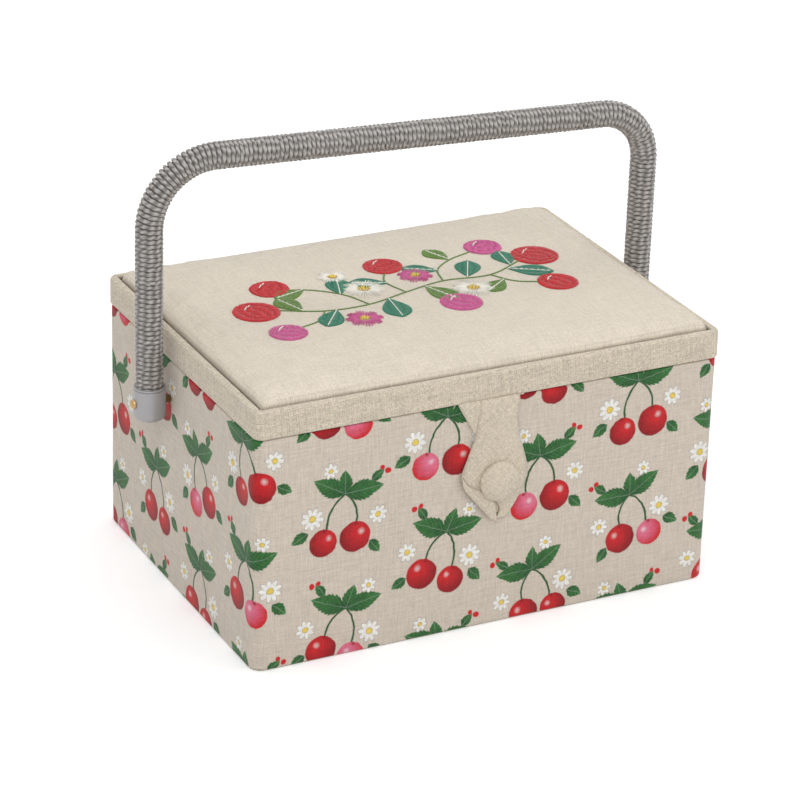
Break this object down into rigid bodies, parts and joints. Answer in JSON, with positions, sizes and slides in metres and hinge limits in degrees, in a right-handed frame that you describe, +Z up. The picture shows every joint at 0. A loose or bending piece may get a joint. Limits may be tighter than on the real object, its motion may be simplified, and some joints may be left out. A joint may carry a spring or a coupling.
{
  "type": "sewing box",
  "caption": "Fabric-covered rectangular sewing box with a padded hinged lid, a cord-wrapped swing handle, a button clasp and a sorting tray inside.",
  "frame": {"origin": "middle of the underside, on the surface that the box stands on", "axes": "+X along the width to the right seen from the front, +Y to the back where the hinges are, +Z up"},
  "size_m": [0.2974, 0.1976, 0.2353],
  "materials": {
    "printed_cloth": "woven, printed",
    "linen": "woven, embroidered",
    "lid_linen": "woven",
    "board": "raw",
    "base_paper": "matt",
    "lining_cloth": "woven",
    "tray_plastic": "moulded",
    "cushion_cloth": "woven",
    "brass": "satin",
    "steel": "satin",
    "cap_metal": "satin",
    "cord": "twisted",
    "elastic": "knitted"
  },
  "bodies": {
    "box": {"base_sheet": "base_paper", "base_board": "board", "front_board": "board", "back_board": "board", "left_board": "board", "right_board": "board", "side_cover": "printed_cloth", "base_lining": "lining_cloth", "front_lining": "lining_cloth", "back_lining": "lining_cloth", "left_lining": "lining_cloth", "right_lining": "lining_cloth", "sorting_tray": "tray_plastic", "pivot_rivets": "brass", "hinge_pins": "steel", "hinge_box_leaves": "brass"},
    "lid": {"lid_rim_front": "board", "lid_rim_back": "board", "lid_rim_left": "board", "lid_rim_right": "board", "lid_band_cover": "lid_linen", "lid_board": "board", "lid_cushion": "linen", "lid_lining": "lining_cloth", "pincushion": "cushion_cloth", "lid_pocket": "lining_cloth", "pocket_elastic": "elastic", "hinge_lid_leaves": "brass", "clasp_anchor": "lid_linen"},
    "handle": {"handle_core": "steel", "handle_wrap": "cord", "end_cap_left": "cap_metal", "end_cap_right": "cap_metal"},
    "clasp": {"clasp_tab": "lid_linen", "clasp_button": "lid_linen"}
  },
  "joints": [
    {"name": "lid_hinge", "type": "hinge", "parent": "box", "child": "lid", "pos_m": [0, 0.0949, 0.1237], "axis": [-1, 0, 0], "range_deg": [0, 105]},
    {"name": "handle_pivot", "type": "hinge", "parent": "box", "child": "handle", "pos_m": [0, 0.0108, 0.1035], "axis": [-1, 0, 0], "range_deg": [-65, 118]},
    {"name": "clasp_flap", "type": "hinge", "parent": "lid", "child": "clasp", "pos_m": [0, -0.094, 0.1247], "axis": [-1, 0, 0], "range_deg": [0, 80]}
  ],
  "couplings": [
    {"joint": "handle_pivot", "follows": "lid_hinge", "ratio": 1.1}
  ]
}
